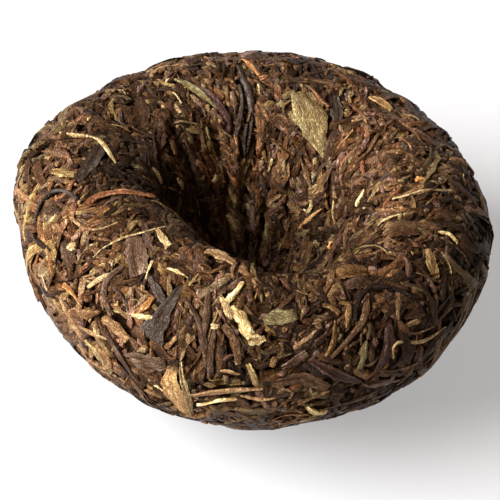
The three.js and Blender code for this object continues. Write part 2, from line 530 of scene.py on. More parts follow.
def walk(rng, envelope, middles, headings, lengths, bends, wiggles, stations):
    """Paths over the surface through middles. bends and wiggles are turns in degrees per path."""
    step = (lengths / (stations - 1))[:, None]
    spot, normal = envelope.on(middles - headings * (lengths / 2)[:, None])
    heading = flattened(headings, normal)
    phase = rng.uniform(0, TAU, len(lengths))
    second = rng.uniform(0, TAU, len(lengths))
    kept = []
    for station in range(stations):
        kept.append((spot, normal, heading))
        share = station / (stations - 1)
        sway = wiggles * (np.cos(1.5 * TAU * share + phase) + np.cos(3.1 * TAU * share + second))
        turn = np.radians((bends + sway) / (stations - 1))[:, None]
        heading = heading * np.cos(turn) + np.cross(normal, heading) * np.sin(turn)
        spot, normal = envelope.on(spot + heading * step)
        heading = flattened(heading, normal)
    points, normals, tangents = (np.stack(row, 1) for row in zip(*kept))
    return Paths(points, normals, tangents, lengths)


def drawn(envelope, view, lines, stations):
    """Paths over the surface along lines that are drawn on the photo."""
    pixels = np.array([line_through(line, stations) for line in lines])
    points, normals = envelope.on(envelope.under(view, pixels))
    headings = flattened(np.gradient(points, axis=1), normals)
    lengths = np.linalg.norm(np.diff(points, axis=1), axis=2).sum(1)
    return Paths(points, normals, headings, lengths)


# ---- leaf sections
# A section gives, for every leaf, station and corner, how far the corner lies across and above the
# path, and how much of a ridge it is, from about 0 to 1. The material paints ridges lighter and
# low parts darker, as painted light and shade.
END_WIDTH = 0.18  # as a share of the leaf's width
SHEET_THICKNESS = 0.3
# painted light on the top of a strip and painted shade on its sides
PAINTED_TOP_LIGHT = 0.34  # how much more of a ridge the pressed top of a strip is than its sides


def tapered(rng, width, along):
    """Uneven widths in mm along leaves that are width wide in the middle and end roundly."""
    fullness = rng.uniform(3.0, 8.0, (len(width), 1))
    share = END_WIDTH + (1 - END_WIDTH) * (1 - np.abs(2 * along - 1) ** fullness) ** 0.6
    uneven = 0.2 * wobble(rng, len(width), along) + 0.2 * wobble(rng, len(width), 4 * along)
    return width[:, None] * share * (1 + uneven)


def rolled_section(rng, along, girth, flatness, corners):
    """A leaf rolled into a strip, girth mm wide and flatness times as thick. Ridges wind slowly
    along it, and its top has the most corners."""
    count = len(girth)
    angle = TAU * np.arange(corners) / corners
    angle = angle + 0.4 * np.cos(angle)
    lobes = np.zeros((count, len(along), corners))
    for lobe, size in ((2, 0.17), (3, 0.18), (5, 0.07)):
        start = rng.uniform(0, TAU, (count, 1))
        wind = rng.normal(0, 4.2, (count, 1)) * along + 0.9 * wobble(rng, count, along)
        lobes += size * np.cos(lobe * angle + (start + wind)[..., None])
    swell = 0.5 * girth[..., None] * (1 + lobes)
    x = swell * np.cos(angle)
    y = flatness[:, None, None] * swell * np.sin(angle)
    # painted light on the lobes' ridges and the top, painted shade in the valleys and on the sides
    return x, y, 0.32 + 1.2 * lobes + PAINTED_TOP_LIGHT * np.sin(angle)


def sheet_section(rng, along, girth, crumple, fold, droop, corners):
    """A leaf or a piece of one: a thin sheet, girth mm wide. crumple is the range of its waves'
    heights, and fold of the degrees that it is folded by along its middle. Its edges go down by
    droop."""
    count = len(girth)
    crumples = rng.uniform(*crumple, count)[:, None, None]
    folds = rng.uniform(*fold, count)
    over = corners - 3
    across = np.concatenate([np.linspace(1, -1, over), np.linspace(-0.8, 0.8, 3)])
    shift = 0.12 * wobble(rng, count, along) + 0.07 * wobble(rng, count, 5 * along)
    place = across + shift[..., None]
    waves = np.zeros((count, len(along), corners))
    for wave in (1.2, 2.6, 4.4):
        start = rng.uniform(0, TAU, (count, 1))
        drift = rng.normal(0, 3.0, (count, 1)) * along
        waves += np.sin(wave * 2 * place + (start + drift)[..., None]) / wave**0.7
    x = 0.5 * girth[..., None] * place
    slope = np.tan(np.radians(folds / 2))[:, None, None]
    y = np.abs(x) * slope + crumples * waves - droop * np.abs(across) ** 3
    y = y - droop * (np.abs(2 * along - 1) ** 4)[:, None]
    y = y - np.where(np.arange(corners) < over, 0, SHEET_THICKNESS)
    edge = np.clip(np.abs(across) * 1.4 - 0.5, 0, 1)
    # lighter on the crests of the waves as painted light, and lighter towards the edges
    return x, y, 0.38 + 0.28 * waves + 0.25 * edge


@dataclass
class Lie:
    """How leaves lie on their paths. tilt and twist are turns about the path in degrees."""

    depth: np.ndarray  # leaf, station: height of the leaf's middle over the surface
    cap: np.ndarray  # leaf: about as high as it stands over the surface
    tilt: np.ndarray  # leaf
    twist: np.ndarray  # leaf
    broad: bool  # whether the leaves follow the surface across their width as well


def lofted(rng, envelope, press, paths, section, lie, tints):
    """Leaves with a section along their paths, pressed onto the surface."""
    x, y, ridge = section
    turn = np.radians(lie.tilt[:, None] + lie.twist[:, None] * (paths.along - 0.5))[..., None]
    across = x * np.cos(turn) - y * np.sin(turn)
    height = x * np.sin(turn) + y * np.cos(turn) + lie.depth[..., None]
    sunk = press.sunk(paths.points)
    lift = press.swell(paths.points) - sunk
    height = soft_cap(height, lie.cap[:, None, None]) + lift[..., None]
    side = np.cross(paths.normals, paths.headings)
    places = paths.points[:, :, None] - side[:, :, None] * across[..., None]
    normals = np.broadcast_to(paths.normals[:, :, None], places.shape)
    if lie.broad:
        places, normals = envelope.on(places)
    places = places + normals * height[..., None]
    places[..., 2] = np.maximum(places[..., 2], 0)
    # painted shade on what is sunk into the creases
    ridge = np.clip(np.clip(ridge, 0, 1) - CREASE_SHADE * sunk[..., None], 0, 1)
    whole = np.ones(ridge.shape)
    reach = (paths.lengths[:, None] * paths.along)[..., None] * whole
    number = rng.uniform(0, 500, (len(ridge), 1, 1)) * whole
    return Leaves(places, paths.normals, np.stack([reach, across, number], -1), tints, ridge)


# ---- colours
# Each palette is made of weights and colours.
DARK = (
    (3, (44, 28, 16)), (3, (57, 37, 21)), (2, (48, 34, 26)), (2, (72, 48, 28)),
)
BROWN = (
    (3, (74, 51, 32)), (3, (89, 63, 40)), (3, (86, 62, 49)), (2, (108, 80, 52)),
    (1, (96, 75, 50)), (1, (97, 64, 43)),
)
OLIVE = ((2, (102, 81, 51)), (2, (122, 98, 61)), (1, (93, 77, 51)))
GOLD = ((2, (170, 134, 82)), (2, (190, 157, 102)), (1, (146, 108, 64)))
CREAM = ((2, (216, 188, 138)), (1, (228, 204, 158)), (1, (190, 162, 110)))
RUSSET = ((2, (128, 92, 63)), (2, (148, 108, 76)), (1, (104, 72, 51)))
MIXED = DARK * 3 + BROWN * 2 + OLIVE
ACCENTS = GOLD * 2 + CREAM + RUSSET + BROWN * 4
BRIGHTEST = 0.32  # linear, of a scattered leaf


def leaf_tints(rng, palette, count, variety):
    """A colour for each leaf from the palette, with a little of its own."""
    colours = np.array([linear(*colour) for _, colour in palette])
    weights = np.array([weight for weight, _ in palette], float)
    chosen = colours[rng.choice(len(palette), count, p=weights / weights.sum())]
    value = np.exp(rng.normal(0, variety, (count, 1)))
    warmth = np.exp(rng.normal(0, 0.05, (count, 1)) * (1, 0, -1.5))
    return chosen * value * warmth


def toned_down(tints):
    """The tints, with those that come near BRIGHTEST made darker."""
    brightness = tints.max(1, keepdims=True) / BRIGHTEST
    return tints / np.cbrt(1 + brightness**3)


# ---- materials
# How many times as light the leaf is, from the bottom to the top of each of its features. The
# crease, ridge and pleat tones are painted shade and painted light; the streak and patch tones
# are the leaf's own fibres and blotches.
CREASE_TONES = (0.63, 1.07)
STREAK_TONES = (0.88, 1.13)
PATCH_TONES = (0.74, 1.33)
RIDGE_TONES = (0.65, 1.39)
PLEAT_TONES = (0.81, 1.21)
WARMING = (1.0, 1.27, 1.48)  # exponents for red, green and blue: dark parts are warmer
FIBRES = 2.6  # in a mm across the leaf
FOLD_HEIGHT = 0.58  # mm that the noise of the folds stands for
CREASE_SHARE, WRINKLE_SHARE, FIBRE_SHARE = 0.35, 0.7, 0.15  # of the height of a fold
LEAF_ROUGHNESS = (0.3, 0.54)  # in the darkest and the lightest blotches


class Nodes:
    """Adds nodes to a new material, and gives back the socket that each is for."""

    def __init__(self, name):
        self.material = bpy.data.materials.new(name)
        self.material.use_nodes = True
        self.tree = self.material.node_tree
        self.tree.nodes.clear()

    def add(self, kind, inputs, output=0, **settings):
        node = self.tree.nodes.new(kind)
        for setting, value in settings.items():
            setattr(node, setting, value)
        for socket, value in inputs.items():
            if isinstance(value, bpy.types.NodeSocket):
                self.tree.links.new(value, node.inputs[socket])
            else:
                node.inputs[socket].default_value = value
        return node.outputs[output]

    def attribute(self, name, output):
        return self.add("ShaderNodeAttribute", {}, output, attribute_name=name)

    def math(self, operation, first, *rest):
        """The sum, product or other result of two or more values."""
        for value in rest:
            first = self.add("ShaderNodeMath", {0: first, 1: value}, operation=operation)
        return first

    def vectors(self, operation, *values):
        return self.add("ShaderNodeVectorMath", dict(enumerate(values)), operation=operation)

    def noise(self, vector, stretch, **inputs):
        place = self.vectors("MULTIPLY", vector, stretch)
        return self.add("ShaderNodeTexNoise", {"Vector": place, "Scale": 1.0, **inputs}, "Fac")

    def spread(self, value, low, high, bottom, top):
        """value, moved from the range low to high into bottom to top."""
        names = ("Value", "From Min", "From Max", "To Min", "To Max")
        inputs = dict(zip(names, (value, low, high, bottom, top)))
        return self.add("ShaderNodeMapRange", inputs, "Result")

    def near_half(self, value, width):
        """0 where value is 0.5, and 1 further off than width."""
        off = self.math("SUBTRACT", value, 0.5)
        away = self.add("ShaderNodeMath", {0: off}, operation="ABSOLUTE")
        return self.spread(away, 0.0, width, 0.0, 1.0)

    def surface(self, inputs):
        shader = self.add("ShaderNodeBsdfPrincipled", inputs, "BSDF")
        output = self.tree.nodes.new("ShaderNodeOutputMaterial")
        self.tree.links.new(shader, output.inputs["Surface"])
        return self.material


def leaf_material():
    """Dry leaf: folds and wrinkles, with painted shade in their creases and hollows and painted
    light on fold tops and ridges, fibres along it, and blotches.
    """
    nodes = Nodes("pressed_leaf")
    grain = nodes.attribute("grain", "Vector")
    tint = nodes.attribute("tint", "Color")
    ridge = nodes.attribute("ridge", "Fac")
    folds = nodes.noise(grain, (0.4, 1.1, 1.0), Detail=2.0, Roughness=0.5, Distortion=0.8)
    wrinkles = nodes.noise(grain, (1.2, 1.8, 1.7), Detail=2.0, Roughness=0.5, Distortion=1.2)
    fibres = nodes.noise(grain, (0.6, FIBRES, 1.0), Detail=2.0, Roughness=0.5)
    blotches = nodes.noise(grain, (0.45, 0.7, 1.3), Detail=2.0, Roughness=0.6)
    crease = nodes.math("MULTIPLY", nodes.near_half(folds, 0.05), nodes.near_half(wrinkles, 0.06))
    # dark_crease, pleat and raised: painted shade in the creases and the folds' hollows, painted
    # light on fold tops and ridges; streak and patch are the leaf's own
    dark_crease = nodes.spread(crease, 0.0, 1.0, *CREASE_TONES)
    streak = nodes.spread(fibres, 0.3, 0.7, *STREAK_TONES)
    pleat = nodes.spread(folds, 0.35, 0.65, *PLEAT_TONES)
    patch = nodes.spread(blotches, 0.3, 0.7, *PATCH_TONES)
    raised = nodes.spread(ridge, 0.1, 0.9, *RIDGE_TONES)
    value = nodes.math("MULTIPLY", dark_crease, streak, pleat, patch, raised)
    colour = nodes.vectors("MULTIPLY", tint, nodes.vectors("POWER", value, WARMING))
    high = nodes.math("MULTIPLY", crease, CREASE_SHARE)
    middling = nodes.math("MULTIPLY", wrinkles, WRINKLE_SHARE)
    fine = nodes.math("MULTIPLY", fibres, FIBRE_SHARE)
    height = nodes.math("ADD", high, folds, middling, fine)
    bump = {"Height": height, "Strength": 1.0, "Distance": FOLD_HEIGHT * MM}
    return nodes.surface(
        {
            "Base Color": colour,
            "Roughness": nodes.spread(blotches, 0.3, 0.7, *LEAF_ROUGHNESS),
            "Specular IOR Level": 0.09,
            "Specular Tint": (1.0, 0.8, 0.6, 1.0),
            "Normal": nodes.add("ShaderNodeBump", bump, "Normal"),
        }
    )


# ---- the core
CORE_TURNS = 320
CORE_STATIONS = 160
CORE_CAP = 0.05  # about as high as its relief stands over the envelope
CORE_DARK = linear(54, 37, 25)
CORE_GOLD = linear(124, 90, 46)

# Over the pitch of the section: how deep the core lies, and how high its relief is.
CORE_PITCH = [-117, -60, -20, 20, 50, 80, 130, 200]
CORE_DEPTH = [0.5, 0.6, 0.45, 0.5, 1.0, 1.25, 1.1, 0.6]
CORE_RISE = [0.25, 0.3, 0.3, 0.32, 0.35, 0.4, 0.4, 0.25]


def blurred_noise(rng, shape, turn_blur, station_blur):
    """Noise with a mean of 0 and a spread of 1, blurred by so many cells each way."""
    noise = np.fft.fft2(rng.normal(size=shape))
    turn = np.fft.fftfreq(shape[0])[:, None]
    station = np.fft.fftfreq(shape[1])[None]
    fall = np.exp(-2 * (math.pi**2) * ((turn * turn_blur) ** 2 + (station * station_blur) ** 2))
    smooth = np.fft.ifft2(noise * fall).real
    return (smooth - smooth.mean()) / smooth.std()


def slanted(field, slant):
    """A field whose lines along the section lean round the axis, by slant turns per station."""
    turns, stations = field.shape
    place = np.arange(turns)[:, None] + slant * np.arange(stations)[None]
    low = np.floor(place).astype(int)
    share = place - low
    column = np.arange(stations)[None]
    return field[low % turns, column] * (1 - share) + field[(low + 1) % turns, column] * share


def core_relief(rng, shape):
    """Fine pressed leaf: ridges that lie along the section, with patches that lean either way."""
    straight = blurred_noise(rng, shape, 0.7, 9)
    lean_left = slanted(blurred_noise(rng, shape, 0.8, 7), 1.1)
    lean_right = slanted(blurred_noise(rng, shape, 0.8, 7), -1.3)
    across = blurred_noise(rng, shape, 6, 0.8)
    patches = [blurred_noise(rng, shape, 8, 8) for _ in range(4)]
    weights = np.exp(2.2 * np.array(patches))
    weights /= weights.sum(0)
    ridges = np.array([straight, lean_left, lean_right, across])
    return (ridges * weights).sum(0) / np.sqrt((weights**2).sum(0))


def core_tint(rng, shape):
    """Dark leaf with patches of gold."""
    tone = blurred_noise(rng, shape, 3, 6)
    gold = np.clip(blurred_noise(rng, shape, 4, 5) - 0.9, 0, 1)[..., None]
    base = CORE_DARK * np.exp(0.35 * tone)[..., None]
    return base * (1 - gold) + CORE_GOLD * gold


def core_quads(turns, stations):
    corner = np.arange(turns * stations).reshape(turns, stations)
    beside = np.roll(corner, -1, 0)
    quads = np.stack([corner[:, :-1], corner[:, 1:], beside[:, 1:], beside[:, :-1]], -1)
    return quads.reshape(-1, 4)


def core_faces(turns, stations):
    """Loops, starts of faces and map places. The quads fill most of the map for baking, and the
    core's two ends lie below them."""
    quads = core_quads(turns, stations)
    first = stations * np.arange(turns)
    ends = np.concatenate([first, (first + stations - 1)[::-1]])
    loops = np.concatenate([quads.ravel(), ends])
    starts = np.concatenate([4 * np.arange(len(quads)), quads.size + turns * np.arange(2)])
    turn, station = np.meshgrid(np.arange(turns), np.arange(stations - 1), indexing="ij")
    u = np.stack([turn, turn, turn + 1, turn + 1], -1) / turns
    v = np.stack([station, station + 1, station + 1, station], -1) / (stations - 1)
    sides = np.stack([0.01 + 0.98 * u, 0.06 + 0.93 * v], -1).reshape(-1, 2)
    angle = TAU * np.arange(turns) / turns
    disc = 0.02 * np.stack([np.cos(angle), np.sin(angle)], -1)
    cells = np.concatenate([sides, disc + (0.03, 0.03), disc[::-1] + (0.08, 0.03)])
    return loops, starts, cells


def make_core(rng, envelope, press, material):
    """The solid under the leaves. Also gives back its points and quads."""
    grid = section_grid(envelope, CORE_TURNS, CORE_STATIONS)
    shape = grid.shape[:2]
    around = (np.roll(grid, -1, 0) - np.roll(grid, 1, 0)) / 2
    normals = unit(np.cross(np.gradient(grid, axis=1), around))
    pitch = envelope.pitch(grid)
    relief = core_relief(rng, shape)
    depth = np.interp(pitch, CORE_PITCH, CORE_DEPTH)
    rise = np.interp(pitch, CORE_PITCH, CORE_RISE)
    sunk = press.sunk(grid)
    height = soft_cap(rise * relief - depth, CORE_CAP) + press.swell(grid) - sunk
    points = grid + normals * height[..., None]
    points[..., 2] = np.maximum(points[..., 2], 0)
    reach = np.linalg.norm(np.diff(grid, axis=1, prepend=grid[:, :1]), axis=-1).cumsum(1)
    girth = np.linalg.norm(around, axis=-1).cumsum(0)
    grain = np.stack([reach, girth, np.zeros(shape)], -1)
    tint = core_tint(rng, shape)
    # painted light on the relief's high parts, painted shade on its low parts and in the creases
    ridge = np.clip(0.45 + 0.3 * relief - CREASE_SHADE * sunk, 0, 1)
    add_piece("core", core_faces(*shape), points, grain, tint, ridge, material)
    return points.reshape(-1, 3), core_quads(*shape)


# ---- scattered leaves
@dataclass
class Kind:
    """Leaves of one kind, scattered over a stretch of the section."""

    name: str
    count: int
    pitch: tuple
    length: tuple
    width: tuple
    spread: float  # degrees off the section's own direction
    depth: tuple
    proud: float = 0.0  # how far it may stand over the common height of the leaves
    palette: tuple = MIXED
    variety: float = 0.35  # spread of the leaves' lightness
    stations: int = 8
    corners: int = 7
    flatness: tuple = (0.55, 0.85)
    tilt: float = 10.0
    twist: float = 30.0
    bend: float = 20.0
    wiggle: float = 25.0
    crumple: tuple = ()  # this and fold are only for sheets
    fold: tuple = ()
    droop: float = 0.0
    sink: float = 0.5  # how much deeper the ends lie


KINDS = [
    Kind("hollow_strips", 3200, (-125, -25), (2, 8), (0.5, 1.4), 42, (-0.85, 0.1),
         variety=0.28, bend=26, wiggle=40, flatness=(0.55, 0.95), sink=0.3),
    Kind("rim_strips", 2600, (-35, 50), (2, 9), (0.45, 1.4), 42, (-0.65, 0.05),
         variety=0.28, stations=9, corners=8, bend=40, wiggle=55, sink=0.35),
    Kind("flank_strips", 1300, (35, 118), (5, 16), (0.8, 2.0), 58, (-1.6, 0.1),
         variety=0.34, stations=14, corners=11, bend=60, wiggle=65, flatness=(0.8, 1.15)),
    Kind("dome_strips", 1100, (108, 232), (6, 17), (0.8, 2.0), 60, (-0.9, -0.1),
         stations=10, corners=8, bend=40, wiggle=45),
    Kind("flat_leaves", 1500, (-125, 232), (2.5, 8), (1.3, 3.2), 50, (-0.5, 0.05),
         stations=9, corners=12, tilt=6, twist=12, crumple=(0.1, 0.26), fold=(0, 14),
         droop=0.3, sink=0.2),
    Kind("folded_leaves", 300, (-60, 150), (6, 15), (1.2, 2.6), 45, (-0.9, -0.1), 0.1,
         stations=11, corners=11, tilt=35, twist=70, bend=45, wiggle=50,
         crumple=(0.03, 0.1), fold=(50, 110)),
    Kind("rim_scraps", 3400, (-125, 50), (0.8, 3.4), (0.4, 1.2), 55, (-0.4, 0.05), 0.05,
         variety=0.28, stations=5, corners=6, bend=30, wiggle=40, sink=0.2),
    Kind("flank_scraps", 2200, (30, 160), (1.0, 4.0), (0.5, 1.4), 90, (-0.9, 0.1),
         stations=6, corners=6, bend=40, wiggle=50, sink=0.2),
    Kind("threads", 240, (-125, 200), (3, 10), (0.22, 0.5), 60, (-0.1, 0.15), 0.1, ACCENTS,
         stations=9, corners=4, flatness=(0.8, 1.0), bend=50, wiggle=60, sink=0.3),
    Kind("crumbs", 500, (-125, 200), (0.8, 2.2), (0.5, 1.2), 90, (-0.2, 0.1), 0.1,
         ACCENTS + MIXED, stations=4, corners=5, sink=0.1),
]
POOL = 30000  # places that the kinds choose theirs from

# Over the pitch of the section: how far the leaves stand over the envelope.
LEAF_PITCH = [-117, -60, -20, 15, 45, 75, 100, 130, 200]
LEAF_CAP = [0.2, 0.3, 0.25, 0.28, 0.46, 0.36, 0.24, 0.18, 0.15]
DEEP_SHADE = 0.55  # painted shade: how much darker a leaf is for each mm that it lies deeper than DEEP
DEEP = -0.4


def choose_middles(rng, envelope, pool, kind):
    """Places for a kind, out of a pool that is spread evenly by area."""
    pitch = envelope.pitch(pool)
    inside = np.flatnonzero((pitch > kind.pitch[0]) & (pitch < kind.pitch[1]))
    return pool[rng.choice(inside, kind.count, replace=False)]


def kind_section(rng, along, kind):
    """A strip's section or, for kinds that are folded, a sheet's."""
    girth = tapered(rng, rng.uniform(*kind.width, kind.count), along)
    if kind.fold:
        return sheet_section(
            rng, along, girth, kind.crumple, kind.fold, kind.droop, kind.corners
        )
    flatness = rng.uniform(*kind.flatness, kind.count)
    return rolled_section(rng, along, girth, flatness, kind.corners)


def scatter_kind(rng, envelope, press, flow, pool, kind):
    middles, normals = envelope.on(choose_middles(rng, envelope, pool, kind))
    count = kind.count
    headings = flow.headings(rng, middles, normals, kind.spread)
    lengths = rng.uniform(*kind.length, count)
    bends = rng.normal(0, kind.bend, count)
    wiggles = np.abs(rng.normal(0, kind.wiggle, count))
    paths = walk(rng, envelope, middles, headings, lengths, bends, wiggles, kind.stations)
    section = kind_section(rng, paths.along, kind)
    depth = rng.uniform(*kind.depth, (count, 1)) + 0.2 * wobble(rng, count, paths.along)
    depth = depth - kind.sink * np.abs(2 * paths.along - 1) ** 4
    tilt = rng.normal(0, kind.tilt, count)
    twist = rng.normal(0, kind.twist, count)
    common = np.interp(envelope.pitch(middles), LEAF_PITCH, LEAF_CAP)
    cap = common * rng.uniform(0.5, 1.3, count) + kind.proud
    tints = leaf_tints(rng, kind.palette, count, kind.variety)
    # painted shade on the leaves that lie deep
    tints = tints * np.exp(DEEP_SHADE * np.minimum(depth.mean(1) - DEEP, 0))[:, None]
    # painted light and shade by place, with some of the leaves' own lightness
    tints = toned_down(tints * flow.painted_light_and_shade(middles, normals)[:, None])
    lie = Lie(depth, cap, tilt, twist, bool(kind.fold))
    return lofted(rng, envelope, press, paths, section, lie, tints)


# ---- single leaves
# The leaves that stand out are drawn one by one. Each has a colour by name, its widths in mm from
# one end to the other, and a line through places on the photo.
SINGLE_COLOURS = {
    "cream": (222, 192, 132), "straw": (188, 160, 112), "gold": (156, 126, 80),
    "tan": (156, 120, 82), "orange": (186, 130, 78), "russet": (132, 86, 56),
    "rose": (146, 102, 80), "apricot": (226, 160, 96), "honey": (196, 152, 98),
    "bronze": (116, 84, 50), "chestnut": (98, 64, 42), "olive": (120, 105, 70),
    "khaki": (146, 124, 82), "plum": (92, 66, 58), "taupe": (108, 84, 66),
    "cocoa": (82, 57, 47), "umber": (104, 76, 52), "walnut": (82, 60, 44),
    "slate": (78, 66, 57), "sepia": (68, 46, 31), "soot": (62, 50, 41), "black": (38, 29, 23),
}
STEMS = [
    ("russet", (1.3, 1.0, 1.1, 0.9), [(88, 204), (95, 196), (120, 193), (154, 197)]),
    ("straw", (0.4, 0.9, 0.6, 0.9, 0.3), [(59, 132), (72, 136), (98, 139), (106, 150), (116, 163)]),
    ("straw", (0.3, 0.4, 0.2), [(93, 257), (102, 248), (123, 238), (167, 227)]),
    ("tan", (0.8, 0.5, 0.4), [(72, 219), (85, 230), (105, 228), (118, 223)]),
    ("cream", (0.4, 0.6, 0.4), [(167, 269), (177, 273), (188, 278)]),
    ("cream", (0.5, 0.4, 0.3), [(153, 261), (148, 272), (146, 279)]),
    ("straw", (0.4, 0.5, 0.3), [(41, 273), (48, 287), (56, 296)]),
    ("orange", (0.9, 0.7, 0.3), [(63, 284), (72, 292), (82, 307)]),
    ("straw", (0.4, 0.5, 0.3), [(172, 92), (177, 97), (182, 104)]),
    ("cream", (0.5, 0.4, 0.3), [(168, 78), (164, 86)]),
    ("cream", (0.5, 0.45, 0.3), [(272, 158), (268, 172)]),
    ("cream", (0.6, 1.1, 0.6), [(365, 190), (358, 207)]),
    ("straw", (0.4, 0.6, 0.4), [(310, 198), (312, 206), (307, 214), (303, 208)]),
    ("honey", (0.4, 0.7, 0.5), [(320, 209), (308, 220), (300, 227)]),
    ("straw", (0.3, 0.5, 0.4), [(258, 84), (259, 95)]),
    ("taupe", (0.3, 0.6, 0.3), [(201, 104), (203, 111), (206, 119)]),
    ("straw", (0.4, 0.7, 0.4), [(393, 199), (417, 193), (452, 190)]),
    ("straw", (0.4, 0.7, 0.4), [(377, 225), (388, 219), (402, 213)]),
    ("cream", (0.4, 0.7, 0.7), [(438, 232), (448, 235), (458, 243)]),
    ("straw", (0.3, 0.6, 0.7, 0.5),
     [(447, 327), (430, 339), (414, 343), (400, 340), (390, 346), (393, 358)]),
    ("umber", (0.4, 0.5, 0.4), [(397, 322), (409, 336), (433, 327), (452, 307)]),
    ("chestnut", (0.4, 0.5, 0.4), [(160, 345), (168, 357), (175, 360), (176, 346)]),
    ("cream", (0.4, 0.6, 0.4), [(152, 385), (165, 393)]),
    ("tan", (0.3, 0.5, 0.3), [(276, 396), (279, 389), (287, 388), (293, 393), (289, 400)]),
    ("tan", (0.4, 0.6, 0.3), [(219, 371), (229, 371), (240, 375)]),
    ("cream", (0.5, 0.9, 0.5), [(197, 405), (217, 401), (241, 400)]),
    ("tan", (0.5, 0.7, 0.4), [(240, 397), (260, 399), (277, 397)]),
    ("orange", (0.3, 0.5, 0.3), [(298, 230), (307, 218)]),
]
STRIPS = [
    ("olive", (0.8, 1.3, 1.2, 0.6), [(176, 79), (190, 88), (207, 100), (218, 108)]),
    ("orange", (0.8, 1.2, 0.7), [(243, 61), (251, 67), (260, 75)]),
    ("cream", (0.6, 1.0, 0.6), [(153, 167), (157, 175), (162, 184)]),
    ("straw", (0.9, 1.5, 0.9), [(67, 247), (76, 247)]),
    ("straw", (0.6, 1.3, 1.5), [(157, 231), (162, 238), (170, 248)]),
    ("tan", (0.9, 1.6, 1.0), [(204, 258), (218, 262), (233, 270)]),
    ("rose", (0.7, 1.1, 0.6), [(218, 279), (225, 279)]),
    ("straw", (0.5, 1.1, 0.6), [(88, 288), (102, 280), (113, 274)]),
    ("tan", (0.4, 1.1, 0.6), [(81, 327), (94, 334), (107, 339)]),
    ("orange", (0.5, 1.1, 0.9), [(137, 314), (146, 305), (154, 297)]),
    ("cream", (0.7, 1.3, 0.8), [(132, 315), (143, 317), (153, 318)]),
    ("straw", (0.5, 1.6, 1.2), [(221, 298), (227, 309), (234, 318)]),
    ("cream", (1.2, 1.2, 0.5), [(226, 303), (234, 296), (243, 286)]),
    ("cream", (1.0, 2.3, 1.3), [(232, 307), (242, 320), (251, 338)]),
    ("straw", (0.7, 1.2, 0.7), [(211, 327), (220, 326)]),
    ("walnut", (0.7, 1.2, 0.8), [(183, 298), (198, 317), (204, 343), (207, 368)]),
    ("walnut", (0.8, 1.2, 0.9), [(215, 327), (212, 350), (210, 376)]),
    ("umber", (0.9, 1.5, 0.9), [(223, 325), (233, 338), (239, 364)]),
    ("walnut", (0.7, 1.1, 0.8), [(209, 292), (207, 317), (203, 341)]),
    ("tan", (0.6, 1.1, 0.8), [(192, 395), (222, 392), (263, 390)]),
    ("gold", (0.8, 1.4, 0.8), [(248, 364), (253, 374), (258, 387)]),
    ("bronze", (0.7, 1.4, 0.7), [(271, 367), (275, 357)]),
    ("cream", (0.8, 1.5, 1.0), [(307, 407), (316, 411), (326, 410)]),
    ("umber", (0.7, 1.4, 1.0, 0.6), [(368, 293), (365, 322), (345, 343), (329, 356)]),
    ("olive", (0.6, 1.6, 1.2), [(366, 341), (363, 353), (359, 368)]),
    ("black", (0.6, 0.9, 0.8, 0.6), [(356, 320), (357, 297), (370, 286), (392, 286), (417, 299)]),
    ("slate", (0.7, 1.3, 1.0, 0.6), [(238, 67), (251, 96), (253, 123), (245, 153)]),
    ("walnut", (0.8, 1.3, 0.9), [(103, 327), (117, 350), (134, 378)]),
    ("taupe", (0.8, 1.3, 0.8), [(123, 266), (108, 280), (104, 297), (112, 316)]),
    ("slate", (0.9, 1.7, 1.0), [(150, 277), (157, 290), (165, 302)]),
    ("walnut", (0.5, 0.9, 0.6), [(328, 407), (355, 400), (382, 388)]),
    ("slate", (0.6, 1.1, 0.8), [(34, 224), (37, 203), (49, 191), (66, 189), (77, 200)]),
    ("russet", (0.6, 1.0, 0.6), [(361, 161), (364, 174)]),
    ("apricot", (0.8, 1.2, 0.8), [(415, 181), (425, 181)]),
    ("russet", (0.5, 1.0, 0.9), [(309, 89), (318, 97), (329, 107)]),
    ("plum", (0.7, 1.4, 1.3, 0.8), [(188, 86), (205, 93), (222, 107), (232, 122), (230, 136)]),
    ("slate", (0.5, 0.9, 0.7), [(239, 84), (243, 100), (241, 116), (237, 136)]),
    ("umber", (0.7, 1.3, 0.8), [(232, 92), (234, 101), (237, 112)]),
    ("tan", (0.7, 1.2, 0.6), [(171, 138), (173, 147), (176, 156)]),
    ("umber", (0.6, 1.0, 0.6), [(356, 162), (368, 152), (379, 134)]),
    ("umber", (0.6, 1.1, 0.6), [(299, 157), (305, 172), (312, 188)]),
    ("umber", (0.5, 0.9, 0.5), [(349, 222), (344, 238), (345, 249)]),
    ("khaki", (0.8, 1.3, 0.8), [(290, 112), (293, 117), (296, 122)]),
    ("soot", (0.5, 0.9, 0.5), [(247, 124), (243, 140), (244, 156)]),
    ("umber", (0.5, 0.9, 0.6), [(254, 88), (252, 106), (248, 122)]),
    ("walnut", (0.6, 1.2, 0.6), [(185, 138), (191, 155), (195, 172)]),
    ("cream", (0.5, 1.1, 0.5), [(212, 184), (215, 179), (216, 174)]),
    ("straw", (0.5, 1.0, 0.6), [(176, 178), (179, 184), (181, 189)]),
    ("umber", (0.8, 1.5, 0.8), [(363, 125), (368, 128), (373, 133)]),
    ("apricot", (0.8, 1.1, 0.8), [(329, 249), (332, 242)]),
    ("bronze", (0.6, 1.2, 0.8), [(323, 305), (331, 306), (341, 313)]),
    ("bronze", (0.7, 1.3, 0.8), [(340, 302), (350, 304), (348, 328)]),
    ("bronze", (0.4, 0.9, 0.7), [(336, 320), (333, 343), (323, 357)]),
]
